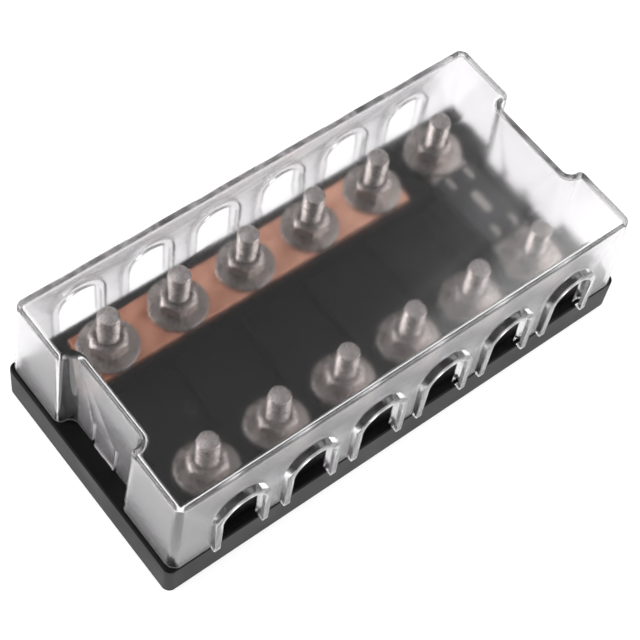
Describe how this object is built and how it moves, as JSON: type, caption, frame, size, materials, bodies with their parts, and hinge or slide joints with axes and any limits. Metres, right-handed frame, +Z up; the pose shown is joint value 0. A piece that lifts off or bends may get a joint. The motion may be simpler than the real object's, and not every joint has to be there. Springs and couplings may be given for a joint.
{
  "type": "power distribution block",
  "caption": "Stud terminal block with a bus bar, a strip fuse and a clear lift-off cover with arched cable entries; joins and feeds several cables.",
  "frame": {"origin": "middle of the base's underside", "axes": "+X along the rows of studs, towards the fuse; +Y towards the row with the bus bar; +Z up, the way the cover lifts"},
  "size_m": [0.2, 0.0988, 0.055],
  "materials": {
    "base_plastic": "satin black moulding",
    "cover_plastic": "clear with a fine matte texture",
    "copper": "bare rolled copper",
    "stud_steel": "nickel-plated",
    "washer_steel": "nickel-plated",
    "nut_steel": "nickel-plated",
    "tinned": "tin-plated copper",
    "fuse_plastic": "satin black"
  },
  "bodies": {
    "base": {"base": "base_plastic", "busbar": "copper", "stud_back_1": "stud_steel", "stud_back_2": "stud_steel", "stud_back_3": "stud_steel", "stud_back_4": "stud_steel", "stud_back_5": "stud_steel", "stud_back_6": "stud_steel", "stud_front_1": "stud_steel", "stud_front_2": "stud_steel", "stud_front_3": "stud_steel", "stud_front_4": "stud_steel", "stud_front_5": "stud_steel", "stud_front_6": "stud_steel", "washer_back_1": "washer_steel", "washer_back_2": "washer_steel", "washer_back_3": "washer_steel", "washer_back_4": "washer_steel", "washer_back_5": "washer_steel", "washer_back_6": "washer_steel", "washer_front_1": "washer_steel", "washer_front_2": "washer_steel", "washer_front_3": "washer_steel", "washer_front_4": "washer_steel", "washer_front_5": "washer_steel", "washer_front_6": "washer_steel", "nut_back_1": "nut_steel", "nut_back_2": "nut_steel", "nut_back_3": "nut_steel", "nut_back_4": "nut_steel", "nut_back_5": "nut_steel", "nut_back_6": "nut_steel", "nut_front_1": "nut_steel", "nut_front_2": "nut_steel", "nut_front_3": "nut_steel", "nut_front_4": "nut_steel", "nut_front_5": "nut_steel", "nut_front_6": "nut_steel", "fuse_strip": "tinned", "fuse_body": "fuse_plastic"},
    "cover": {"cover": "cover_plastic"}
  },
  "joints": [
    {"name": "cover_lift", "type": "slide", "parent": "base", "child": "cover", "axis": [0, 0, 1], "range_m": [0, 0.045]}
  ]
}
